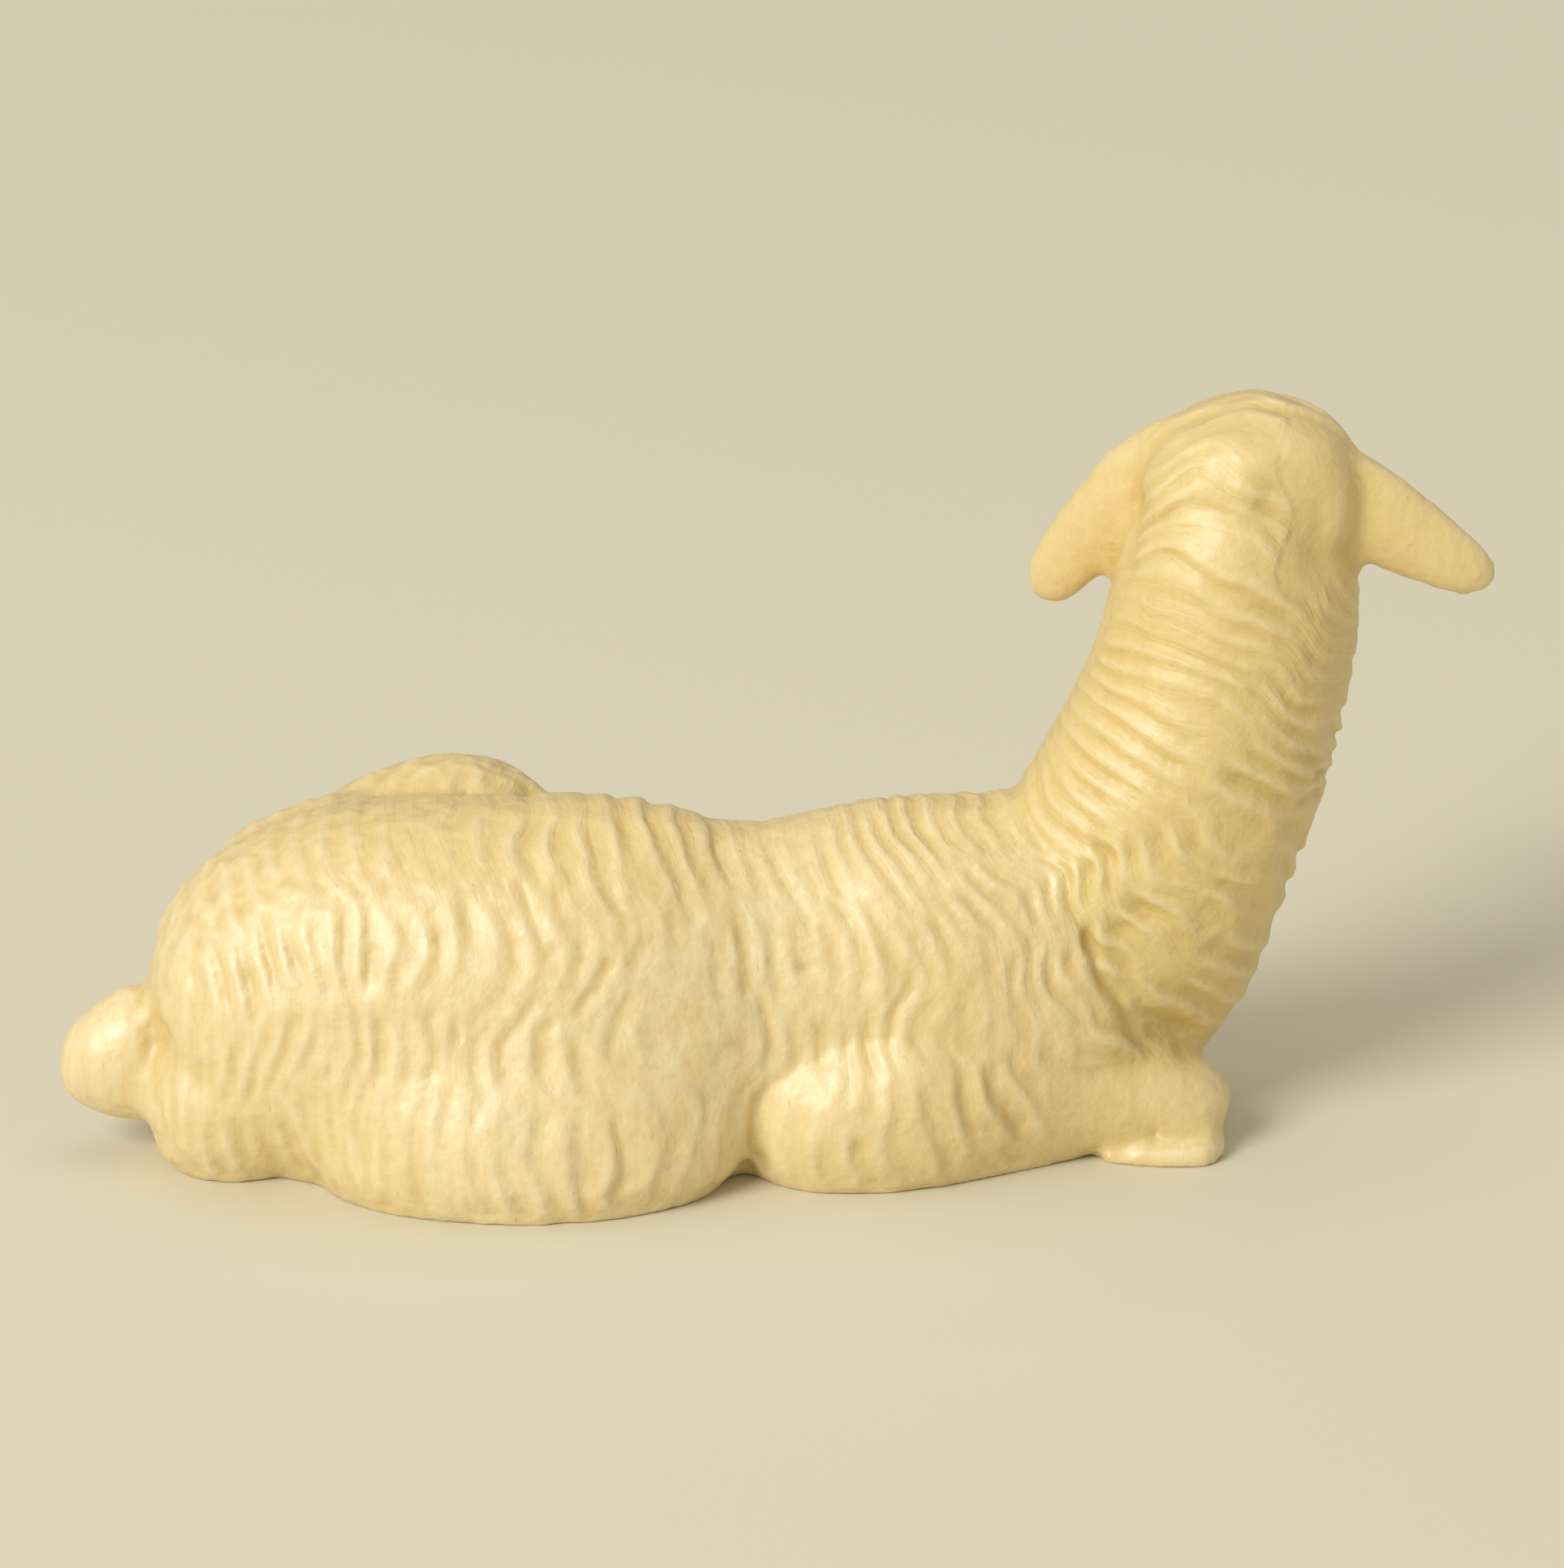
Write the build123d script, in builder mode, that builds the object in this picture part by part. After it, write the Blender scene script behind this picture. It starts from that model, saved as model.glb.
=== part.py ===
"""A lying sheep, carved in pale maple from blocks that are pinned and glued together with dowels.

The frame is in millimetres: the sheep lies along X with its breast towards +X, +Y is its left side,
+Z is up, and the table is Z = 0. The origin is on the sole, under the middle of the trunk.
"""

import os
from typing import NamedTuple

from build123d import *

os.makedirs("parts", exist_ok=True)


class Ring(NamedTuple):
    """An oval cut across a form: its middle, and its half sizes across and up."""

    x: float
    y: float
    z: float
    across: float
    up: float


class Swelling(NamedTuple):
    """An egg-shaped swelling under the wool: its middle, and its half sizes along X, Y and Z."""

    x: float
    y: float
    z: float
    half_x: float
    half_y: float
    half_z: float


class Pin(NamedTuple):
    """A round dowel across a glued joint, half in each piece."""

    joint: Plane
    radius: float
    length: float


# Trunk: the barrel of the body from the rump to the breast, and the swellings of the lying legs.
RUMP_TIP = (-43.7, 3.0, 8.0)
BARREL = [
    Ring(-41.9, 3.0, 8.2, 5.4, 5.7),
    Ring(-38.6, 3.0, 9.3, 8.8, 10.4),
    Ring(-33.0, 2.7, 10.4, 10.9, 13.5),
    Ring(-25.0, 2.2, 11.0, 11.6, 14.6),
    Ring(-16.0, 2.0, 11.0, 11.4, 14.9),
    Ring(-8.0, 2.8, 10.5, 10.4, 14.3),
    Ring(0.0, 4.2, 10.0, 9.1, 13.5),
    Ring(8.0, 5.4, 10.5, 9.8, 14.2),
    Ring(16.0, 6.5, 10.5, 9.5, 14.0),
    Ring(23.0, 7.4, 11.2, 8.0, 11.0),
    Ring(28.0, 8.0, 10.6, 5.6, 6.8),
]
BREAST_TIP = (30.0, 8.0, 10.2)
RIGHT_THIGH = Swelling(-17.8, -3.2, 4.6, 16.0, 9.6, 9.2)
RIGHT_BUTTOCK = Swelling(-37.8, 0.2, 5.0, 6.6, 6.2, 6.8)
LEFT_HAUNCH = Swelling(-23.0, 9.4, 14.0, 11.2, 8.4, 12.4)
LEFT_THIGH = Swelling(-20.0, 9.6, 5.6, 14.5, 9.0, 7.6)

# Neck: a column that rises from the breast, leaning forward. Each seam is the ring at a glued joint.
NECK_SEAM = Ring(27.6, 7.7, 25.0, 9.8, 8.8)
NECK = [
    Ring(20.0, 8.0, 8.0, 9.3, 6.4),
    Ring(24.5, 7.8, 17.0, 10.2, 8.2),
    NECK_SEAM,
    Ring(30.5, 8.2, 33.0, 9.0, 8.4),
    Ring(31.6, 8.8, 40.0, 8.5, 8.2),
    Ring(31.9, 9.2, 45.5, 6.8, 6.6),
]

# Head: from the back of the skull to the blunt muzzle, turned to the sheep's left.
SKULL_TIP = (31.9, 2.0, 46.6)
HEAD = [
    Ring(32.1, 4.0, 46.6, 5.6, 5.2),
    Ring(32.4, 7.2, 46.2, 7.4, 6.8),
    Ring(32.7, 11.2, 45.5, 7.2, 6.9),
    Ring(33.0, 15.0, 44.2, 6.1, 6.3),
    Ring(33.4, 18.8, 42.4, 4.9, 5.5),
    Ring(33.9, 22.4, 40.4, 4.2, 4.7),
    Ring(34.3, 25.4, 38.8, 4.0, 4.1),
    Ring(34.5, 27.0, 38.0, 3.0, 3.0),
]
NOSE_TIP = (34.6, 27.6, 37.7)
HEAD_JOINT_MIDDLE = (31.4, 8.8, 40.5)
HEAD_JOINT_FACING = (0.05, 0.45, 0.89)

# Ears: leaves that are broad across and thin through, from inside the skull to the tip.
RIGHT_EAR_SEAM = Ring(39.9, 7.9, 45.2, 3.4, 2.1)
RIGHT_EAR = [
    Ring(34.6, 8.8, 47.8, 3.3, 2.4),
    RIGHT_EAR_SEAM,
    Ring(43.0, 7.4, 43.5, 3.0, 1.8),
    Ring(45.9, 7.0, 41.9, 2.4, 1.5),
    Ring(48.0, 6.8, 40.8, 1.7, 1.1),
]
RIGHT_EAR_TIP = (49.3, 6.7, 40.2)
LEFT_EAR_SEAM = Ring(24.8, 11.0, 45.3, 3.3, 2.1)
LEFT_EAR = [
    Ring(28.8, 9.8, 48.2, 3.3, 2.4),
    LEFT_EAR_SEAM,
    Ring(22.3, 11.8, 42.8, 2.9, 1.8),
    Ring(20.1, 12.6, 40.1, 2.4, 1.5),
    Ring(18.6, 13.2, 37.8, 1.7, 1.1),
]
LEFT_EAR_TIP = (18.0, 13.5, 36.8)

# Tail: a short stub behind the rump.
TAIL_SEAM = Ring(-44.2, 2.5, 7.2, 3.6, 5.1)
TAIL = [
    Ring(-39.5, 3.0, 8.0, 3.6, 5.0),
    TAIL_SEAM,
    Ring(-47.4, 2.1, 6.5, 3.1, 3.9),
    Ring(-49.2, 1.8, 6.4, 2.0, 2.6),
]
TAIL_TIP = (-50.1, 1.7, 6.3)

# Forelegs: elbow, forearm and knee, with the shank folded back flat under them.
RIGHT_ELBOW_TIP = (-3.0, 1.4, 4.8)
RIGHT_FORELEG_SEAM = Ring(20.0, 2.6, 4.7, 4.7, 5.8)
RIGHT_FOREARM = [
    Ring(-1.0, 0.4, 4.8, 4.6, 5.6),
    Ring(5.0, -0.9, 4.3, 6.5, 7.4),
    Ring(13.0, 1.2, 4.9, 6.2, 7.6),
    RIGHT_FORELEG_SEAM,
    Ring(25.0, 2.9, 4.2, 4.0, 4.2),
    Ring(28.6, 3.0, 3.3, 3.5, 3.2),
    Ring(30.4, 3.0, 2.7, 2.6, 2.4),
]
RIGHT_KNEE_TIP = (31.0, 3.0, 2.5)
RIGHT_SHANK_HEEL = (31.0, 1.4, 0.9)
RIGHT_SHANK = [
    Ring(29.8, 1.3, 0.7, 2.5, 1.7),
    Ring(26.0, 1.2, 0.7, 2.6, 1.8),
    Ring(22.6, 1.1, 0.7, 2.4, 1.7),
]
LEFT_ELBOW_TIP = (-3.0, 6.8, 4.8)
LEFT_FORELEG_SEAM = Ring(20.0, 12.4, 4.7, 4.7, 5.8)
LEFT_FOREARM = [
    Ring(-1.0, 7.8, 4.8, 4.6, 5.6),
    Ring(5.0, 10.4, 4.3, 6.5, 7.4),
    Ring(13.0, 11.2, 4.9, 6.2, 7.6),
    LEFT_FORELEG_SEAM,
    Ring(24.0, 12.9, 4.2, 4.0, 4.2),
    Ring(27.0, 13.0, 3.3, 3.5, 3.2),
    Ring(28.7, 13.0, 2.7, 2.6, 2.4),
]
LEFT_KNEE_TIP = (29.2, 13.0, 2.5)
LEFT_SHANK_HEEL = (29.2, 14.6, 0.9)
LEFT_SHANK = [
    Ring(28.0, 14.7, 0.7, 2.5, 1.7),
    Ring(25.2, 14.8, 0.7, 2.6, 1.8),
    Ring(22.6, 14.9, 0.7, 2.4, 1.7),
]

# Hind legs: the bare shanks that come out from under the left flank, with their hooves.
LEFT_HIND_SEAM = Ring(-24.0, 16.6, 3.6, 3.0, 3.0)
LEFT_HIND_SHANK = [
    Ring(-31.0, 11.2, 4.6, 3.4, 3.4),
    LEFT_HIND_SEAM,
    Ring(-16.0, 18.6, 2.8, 2.6, 2.6),
    Ring(-9.5, 19.0, 2.4, 2.6, 2.4),
]
LEFT_HIND_TIP = (-6.0, 19.0, 1.8)
RIGHT_HIND_SEAM = Ring(-7.0, 13.4, 2.8, 2.8, 2.8)
RIGHT_HIND_SHANK = [
    Ring(-12.0, 10.0, 3.2, 3.2, 3.0),
    RIGHT_HIND_SEAM,
    Ring(-2.5, 15.8, 2.4, 2.5, 2.4),
]
RIGHT_HIND_TIP = (1.2, 17.4, 1.6)

# Dowels: round beech pins across the glued joints.
NECK_DOWEL_RADIUS = 2.0
NECK_DOWEL_LENGTH = 14.0
HEAD_DOWEL_RADIUS = 1.5
HEAD_DOWEL_LENGTH = 10.0
EAR_DOWEL_RADIUS = 0.8
EAR_DOWEL_LENGTH = 6.0
TAIL_DOWEL_RADIUS = 1.0
TAIL_DOWEL_LENGTH = 6.0
FORELEG_DOWEL_RADIUS = 1.25
FORELEG_DOWEL_LENGTH = 8.0
HIND_DOWEL_RADIUS = 1.0
HIND_DOWEL_LENGTH = 6.0
DOWEL_CHAMFER = 0.25
GLUE_GAP = 0.05
DOWEL_END_GAP = 0.4

ACROSS = (0, 1, 0)
FORWARD = (1, 0, 0)
UPWARD = (0, 0, 1)
TABLE = Plane.XY
HALF_TURN = 180


def oval_sections(rings, side):
    """A sketch of each ring, square to the line through the rings' middles, with side across it."""
    middles = [Vector(ring.x, ring.y, ring.z) for ring in rings]
    sketches = []
    for place, ring in enumerate(rings):
        before = middles[max(place - 1, 0)]
        after = middles[min(place + 1, len(rings) - 1)]
        plane = Plane(origin=middles[place], x_dir=side, z_dir=after - before)
        with BuildSketch(plane, mode=Mode.PRIVATE) as oval:
            with BuildLine():
                EllipticalCenterArc((0, 0), ring.across, ring.up, 0, arc_size=HALF_TURN)
                EllipticalCenterArc((0, 0), ring.across, ring.up, HALF_TURN, arc_size=HALF_TURN)
            make_face()
        sketches.append(oval.sketch)
    return sketches


def tapered(rings, side, start=None, end=None):
    """The solid through the rings, drawn to a point where a start or an end tip is given."""
    sections = oval_sections(rings, side)
    if start:
        sections.insert(0, Vertex(*start))
    if end:
        sections.append(Vertex(*end))
    with BuildPart(mode=Mode.PRIVATE) as form:
        loft(sections)
    return form.part


def egg(swelling):
    """The solid of a swelling."""
    with BuildPart(mode=Mode.PRIVATE) as form:
        Sphere(1)
        scale(by=(swelling.half_x, swelling.half_y, swelling.half_z))
    return form.part.moved(Location((swelling.x, swelling.y, swelling.z)))


def joint_at(rings, seam):
    """The glued face across a form at its seam, which is one of its rings, facing out along the form."""
    place = rings.index(seam)
    before, after = rings[place - 1], rings[place + 1]
    along = Vector(after.x - before.x, after.y - before.y, after.z - before.z)
    return Plane(origin=(seam.x, seam.y, seam.z), z_dir=along)


def root_of(form, joint):
    """The part of a form on the near side of its joint, which is carved on the larger block."""
    with BuildPart(mode=Mode.PRIVATE) as root:
        add(form)
        split(bisect_by=joint, keep=Keep.BOTTOM)
    return root.part


def limb_of(form, joint, folded_shank=None):
    """The part of a form beyond its joint, with any shank folded under it, flat on the table."""
    with BuildPart(mode=Mode.PRIVATE) as limb:
        add(form)
        split(bisect_by=joint, keep=Keep.TOP)
        if folded_shank:
            add(folded_shank)
        split(bisect_by=TABLE, keep=Keep.TOP)
    return limb.part


def drill(pins):
    """Bore the open block for its pins, with room for glue round each and past its ends."""
    for pin in pins:
        with Locations(pin.joint):
            Cylinder(pin.radius + GLUE_GAP, pin.length + 2 * DOWEL_END_GAP, mode=Mode.SUBTRACT)


# The glued joints, and the pin across each.
neck_pin = Pin(joint_at(NECK, NECK_SEAM), NECK_DOWEL_RADIUS, NECK_DOWEL_LENGTH)
head_pin = Pin(Plane(HEAD_JOINT_MIDDLE, z_dir=HEAD_JOINT_FACING), HEAD_DOWEL_RADIUS, HEAD_DOWEL_LENGTH)
right_ear_pin = Pin(joint_at(RIGHT_EAR, RIGHT_EAR_SEAM), EAR_DOWEL_RADIUS, EAR_DOWEL_LENGTH)
left_ear_pin = Pin(joint_at(LEFT_EAR, LEFT_EAR_SEAM), EAR_DOWEL_RADIUS, EAR_DOWEL_LENGTH)
tail_pin = Pin(joint_at(TAIL, TAIL_SEAM), TAIL_DOWEL_RADIUS, TAIL_DOWEL_LENGTH)
right_foreleg_pin = Pin(
    joint_at(RIGHT_FOREARM, RIGHT_FORELEG_SEAM), FORELEG_DOWEL_RADIUS, FORELEG_DOWEL_LENGTH
)
left_foreleg_pin = Pin(
    joint_at(LEFT_FOREARM, LEFT_FORELEG_SEAM), FORELEG_DOWEL_RADIUS, FORELEG_DOWEL_LENGTH
)
left_hind_leg_pin = Pin(
    joint_at(LEFT_HIND_SHANK, LEFT_HIND_SEAM), HIND_DOWEL_RADIUS, HIND_DOWEL_LENGTH
)
right_hind_leg_pin = Pin(
    joint_at(RIGHT_HIND_SHANK, RIGHT_HIND_SEAM), HIND_DOWEL_RADIUS, HIND_DOWEL_LENGTH
)

# Whole forms, before they are cut at their joints.
neck_column = tapered(NECK, FORWARD)
skull = tapered(HEAD, FORWARD, SKULL_TIP, NOSE_TIP)
right_ear_leaf = tapered(RIGHT_EAR, UPWARD, end=RIGHT_EAR_TIP)
left_ear_leaf = tapered(LEFT_EAR, UPWARD, end=LEFT_EAR_TIP)
tail_stub = tapered(TAIL, ACROSS, end=TAIL_TIP)
right_forearm = tapered(RIGHT_FOREARM, ACROSS, RIGHT_ELBOW_TIP, RIGHT_KNEE_TIP)
right_shank = tapered(RIGHT_SHANK, ACROSS, RIGHT_SHANK_HEEL)
left_forearm = tapered(LEFT_FOREARM, ACROSS, LEFT_ELBOW_TIP, LEFT_KNEE_TIP)
left_shank = tapered(LEFT_SHANK, ACROSS, LEFT_SHANK_HEEL)
left_hind_shank = tapered(LEFT_HIND_SHANK, ACROSS, end=LEFT_HIND_TIP)
right_hind_shank = tapered(RIGHT_HIND_SHANK, ACROSS, end=RIGHT_HIND_TIP)

# What stands beyond each joint, still without its pin hole.
right_ear_form = limb_of(right_ear_leaf, right_ear_pin.joint)
left_ear_form = limb_of(left_ear_leaf, left_ear_pin.joint)
tail_form = limb_of(tail_stub, tail_pin.joint)
right_foreleg_form = limb_of(right_forearm, right_foreleg_pin.joint, right_shank)
left_foreleg_form = limb_of(left_forearm, left_foreleg_pin.joint, left_shank)
left_hind_leg_form = limb_of(left_hind_shank, left_hind_leg_pin.joint)
right_hind_leg_form = limb_of(right_hind_shank, right_hind_leg_pin.joint)

# Trunk: barrel, swellings, breast and the roots of neck, tail and legs in one block, with a seat for
# each limb.
with BuildPart() as trunk:
    loft([Vertex(*RUMP_TIP), *oval_sections(BARREL, ACROSS), Vertex(*BREAST_TIP)])
    add(root_of(neck_column, neck_pin.joint))
    add(root_of(right_forearm, right_foreleg_pin.joint))
    add(root_of(left_forearm, left_foreleg_pin.joint))
    for swelling in (RIGHT_THIGH, LEFT_THIGH, LEFT_HAUNCH, RIGHT_BUTTOCK):
        add(egg(swelling))
    add(root_of(left_hind_shank, left_hind_leg_pin.joint))
    add(root_of(right_hind_shank, right_hind_leg_pin.joint))
    add(root_of(tail_stub, tail_pin.joint))
    split(bisect_by=TABLE, keep=Keep.TOP)
    for form in (
        tail_form, right_foreleg_form, left_foreleg_form, left_hind_leg_form, right_hind_leg_form
    ):
        add(form, mode=Mode.SUBTRACT)
    drill(
        (neck_pin, tail_pin, right_foreleg_pin, left_foreleg_pin, left_hind_leg_pin, right_hind_leg_pin)
    )
trunk.part.label = "trunk"
export_step(trunk.part, "parts/trunk.step")

# Neck: the column between the trunk and the head.
with BuildPart() as neck:
    add(neck_column)
    add(skull)
    split(bisect_by=head_pin.joint, keep=Keep.BOTTOM)
    split(bisect_by=neck_pin.joint, keep=Keep.TOP)
    drill((neck_pin, head_pin))
neck.part.label = "neck"
export_step(neck.part, "parts/neck.step")

# Head: the skull above its joint, with the roots of the ears and a seat for each ear.
with BuildPart() as head:
    add(neck_column)
    add(skull)
    split(bisect_by=head_pin.joint, keep=Keep.TOP)
    add(root_of(right_ear_leaf, right_ear_pin.joint))
    add(root_of(left_ear_leaf, left_ear_pin.joint))
    for form in (right_ear_form, left_ear_form):
        add(form, mode=Mode.SUBTRACT)
    drill((head_pin, right_ear_pin, left_ear_pin))
head.part.label = "head"
export_step(head.part, "parts/head.step")

# Right ear.
with BuildPart() as right_ear:
    add(right_ear_form)
    drill((right_ear_pin,))
right_ear.part.label = "right_ear"
export_step(right_ear.part, "parts/right_ear.step")

# Left ear.
with BuildPart() as left_ear:
    add(left_ear_form)
    drill((left_ear_pin,))
left_ear.part.label = "left_ear"
export_step(left_ear.part, "parts/left_ear.step")

# Tail.
with BuildPart() as tail:
    add(tail_form)
    drill((tail_pin,))
tail.part.label = "tail"
export_step(tail.part, "parts/tail.step")

# Right foreleg, with its knee and folded shank.
with BuildPart() as right_foreleg:
    add(right_foreleg_form)
    drill((right_foreleg_pin,))
right_foreleg.part.label = "right_foreleg"
export_step(right_foreleg.part, "parts/right_foreleg.step")

# Left foreleg, with its knee and folded shank.
with BuildPart() as left_foreleg:
    add(left_foreleg_form)
    drill((left_foreleg_pin,))
left_foreleg.part.label = "left_foreleg"
export_step(left_foreleg.part, "parts/left_foreleg.step")

# Left hind leg, with its hoof.
with BuildPart() as left_hind_leg:
    add(left_hind_leg_form)
    drill((left_hind_leg_pin,))
left_hind_leg.part.label = "left_hind_leg"
export_step(left_hind_leg.part, "parts/left_hind_leg.step")

# Right hind leg, with its hoof.
with BuildPart() as right_hind_leg:
    add(right_hind_leg_form)
    drill((right_hind_leg_pin,))
right_hind_leg.part.label = "right_hind_leg"
export_step(right_hind_leg.part, "parts/right_hind_leg.step")

# Dowels: one across each joint, with its ends eased.
for name, pin in {
    "neck_dowel": neck_pin,
    "head_dowel": head_pin,
    "right_ear_dowel": right_ear_pin,
    "left_ear_dowel": left_ear_pin,
    "tail_dowel": tail_pin,
    "right_foreleg_dowel": right_foreleg_pin,
    "left_foreleg_dowel": left_foreleg_pin,
    "left_hind_leg_dowel": left_hind_leg_pin,
    "right_hind_leg_dowel": right_hind_leg_pin,
}.items():
    with BuildPart(pin.joint) as dowel:
        Cylinder(pin.radius, pin.length)
        chamfer(dowel.edges().filter_by(GeomType.CIRCLE), DOWEL_CHAMFER)
    dowel.part.label = name
    export_step(dowel.part, f"parts/{name}.step")
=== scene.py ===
"""A lying sheep, carved in maple from pinned blocks and waxed, on a pale studio table."""

import math
from typing import NamedTuple

import bmesh
import bpy
import numpy as np
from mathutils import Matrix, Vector
from mathutils.bvhtree import BVHTree


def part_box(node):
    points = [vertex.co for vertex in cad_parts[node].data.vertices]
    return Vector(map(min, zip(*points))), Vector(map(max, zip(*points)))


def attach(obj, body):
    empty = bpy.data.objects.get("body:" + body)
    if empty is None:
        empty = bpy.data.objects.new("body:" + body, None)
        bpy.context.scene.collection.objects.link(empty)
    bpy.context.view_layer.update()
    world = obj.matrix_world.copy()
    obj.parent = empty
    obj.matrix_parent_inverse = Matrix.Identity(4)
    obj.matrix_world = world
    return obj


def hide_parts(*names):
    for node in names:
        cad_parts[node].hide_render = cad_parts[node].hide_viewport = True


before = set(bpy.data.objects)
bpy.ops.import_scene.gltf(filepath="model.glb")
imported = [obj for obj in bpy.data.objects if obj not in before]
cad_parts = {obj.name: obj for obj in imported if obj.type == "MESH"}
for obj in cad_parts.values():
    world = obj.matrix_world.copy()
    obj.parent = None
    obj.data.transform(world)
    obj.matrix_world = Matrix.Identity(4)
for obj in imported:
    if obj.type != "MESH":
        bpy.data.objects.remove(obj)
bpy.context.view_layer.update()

# Camera: a long lens that looks at the sheep's right side from a little above its back.
# It stands about half a metre away, where the photograph was taken.
scene = bpy.context.scene
MM = 0.001
AIM = Vector((0.2, 0.0, 27.9)) * MM
DISTANCE = 520 * MM
TILT = math.radians(20)
FRAME_HEIGHT_PX = 1932
PX_PER_MM = 18
SENSOR = 36.0

camera_data = bpy.data.cameras.new("camera")
camera_data.sensor_width = SENSOR
camera_data.lens = SENSOR * PX_PER_MM * DISTANCE / MM / FRAME_HEIGHT_PX
camera = bpy.data.objects.new("camera", camera_data)
camera.location = AIM + DISTANCE * Vector((0, -math.cos(TILT), math.sin(TILT)))
camera.rotation_euler = (math.pi / 2 - TILT, 0, 0)
scene.collection.objects.link(camera)
scene.camera = camera

# Blank: trunk, neck, head, ears, tail and legs are maple blocks, glued up over dowels first
# and carved afterwards as one form, so the wool runs on across the joints.
# Here the blocks get one skin, and their edges are worked off in broad, soft passes.
BLOCKS = (
    "trunk", "neck", "head", "right_ear", "left_ear", "tail",
    "right_foreleg", "left_foreleg", "left_hind_leg", "right_hind_leg",
)
BLANK_PITCH = 0.57 * MM
WELD = 0.001 * MM


def plain_mesh(obj):
    """The mesh that an object's modifiers make, with the modifiers gone."""
    graph = bpy.context.evaluated_depsgraph_get()
    mesh = bpy.data.meshes.new_from_object(obj.evaluated_get(graph))
    obj.modifiers.clear()
    return mesh


glued = bmesh.new()
for name in BLOCKS:
    glued.from_mesh(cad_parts[name].data)
bmesh.ops.remove_doubles(glued, verts=glued.verts, dist=WELD)
blank = bpy.data.objects.new("carving", bpy.data.meshes.new("carving"))
glued.to_mesh(blank.data)
glued.free()
scene.collection.objects.link(blank)
one_skin = blank.modifiers.new("one skin", "REMESH")
one_skin.mode = "VOXEL"
one_skin.voxel_size = BLANK_PITCH
blank.data = plain_mesh(blank)


def vertex_places(mesh):
    """The places of a mesh's vertices, in millimetres."""
    flat = np.empty(len(mesh.vertices) * 3)
    mesh.vertices.foreach_get("co", flat)
    return flat.reshape(-1, 3) / MM


def edge_ends(mesh):
    """The two vertices of each of a mesh's edges."""
    flat = np.empty(len(mesh.edges) * 2, int)
    mesh.edges.foreach_get("vertices", flat)
    return flat.reshape(-1, 2)


def place_vertices(mesh, places):
    """Move a mesh's vertices to these places, in millimetres."""
    mesh.vertices.foreach_set("co", (places * MM).ravel())
    mesh.update()


def within(values, low, high, fade):
    """1 between low and high, going softly to 0 over the fade outside them."""
    inside = np.clip(np.minimum(values - low, high - values) / fade + 1, 0, 1)
    return inside * inside * (3 - 2 * inside)


EASE = 0.5


def eased(places, edges, rounds, share, give_back=0.0):
    """Places drawn towards their neighbours' middle, and let out again where the bulk has to stay."""
    first, second = edges.T
    count = np.bincount(edges.ravel(), minlength=len(places))[:, None]
    for _ in range(rounds):
        for pull in (EASE, -give_back) if give_back else (EASE,):
            total = np.stack(
                [
                    np.bincount(first, places[second, axis], len(places))
                    + np.bincount(second, places[first, axis], len(places))
                    for axis in range(3)
                ],
                axis=1,
            )
            places = places + pull * share[:, None] * (total / count - places)
    return places


KEPT_BULK = 0.52
SOLE_RISE = 0.3
edges = edge_ends(blank.data)
places = vertex_places(blank.data)
x, _, z = places.T
everywhere = np.ones(len(places))
flank = within(x, -34, -5, 4) * within(z, 7, 20, 5)
withers = within(x, 10, 26, 5) * within(z, 16, 32, 5)
fetlock = within(x, 20, 28.5, 1.5) * within(z, 1.2, 4.5, 0.8)
for share, rounds, give_back in (
    (everywhere, 12, KEPT_BULK),
    (flank, 110, 0.0),
    (withers, 30, 0.0),
    (fetlock, 40, 0.5),
    (everywhere, 6, KEPT_BULK),
):
    places = eased(places, edges, rounds, share, give_back)
places[:, 2] = np.where(places[:, 2] < SOLE_RISE, 0.0, places[:, 2])
place_vertices(blank.data, places)
finer = blank.modifiers.new("finer", "SUBSURF")
finer.levels = finer.render_levels = 1
blank.data = plain_mesh(blank)

# Head: its block is turned so that the face looks away to the far side and a little down.
# The face is cut with the smallest gouge, so its skin gets points at half the distance of the rest.
HEAD_MIDDLE = np.array((32.6, 10.5, 45.6))
HEAD_FORWARD = np.array((0.11, 0.90, -0.42))
HEAD_FORWARD /= np.linalg.norm(HEAD_FORWARD)
HEAD_ACROSS = np.cross(HEAD_FORWARD, (0, 0, 1))
HEAD_ACROSS /= np.linalg.norm(HEAD_ACROSS)
HEAD_UP = np.cross(HEAD_ACROSS, HEAD_FORWARD)


def seen_from_head(places):
    """How far places are ahead of the middle of the head, to its right, and above it."""
    apart = places - HEAD_MIDDLE
    return apart @ HEAD_FORWARD, apart @ HEAD_ACROSS, apart @ HEAD_UP


FACE_BACK = 1.5
FACE_LOW = -7.5
FACE_HALF = 9
finer_face = bmesh.new()
finer_face.from_mesh(blank.data)
ahead, aside, above = seen_from_head(vertex_places(blank.data))
on_face = (ahead > FACE_BACK) & (above > FACE_LOW) & (np.abs(aside) < FACE_HALF)
face_edges = [e for e in finer_face.edges if on_face[e.verts[0].index] and on_face[e.verts[1].index]]
bmesh.ops.subdivide_edges(finer_face, edges=face_edges, cuts=1, use_grid_fill=True)
finer_face.to_mesh(blank.data)
finer_face.free()


# Lie of the wool: before a lock is cut, its run is drawn on the blank, as a carver pencils it on.
# A line through the middle of the body, from rump to crown, says how wide and deep the locks are
# and how they sway and lean. Each place on the skin takes its figures from the line near it.
class Spine(NamedTuple):
    """A place on the line through the middle of the body, and how the wool lies there, in millimetres."""

    x: float
    y: float
    z: float
    radius: float
    lock_pitch: float
    lock_depth: float
    sway: float
    lean: float
    overlap: float
    back: tuple


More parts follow.
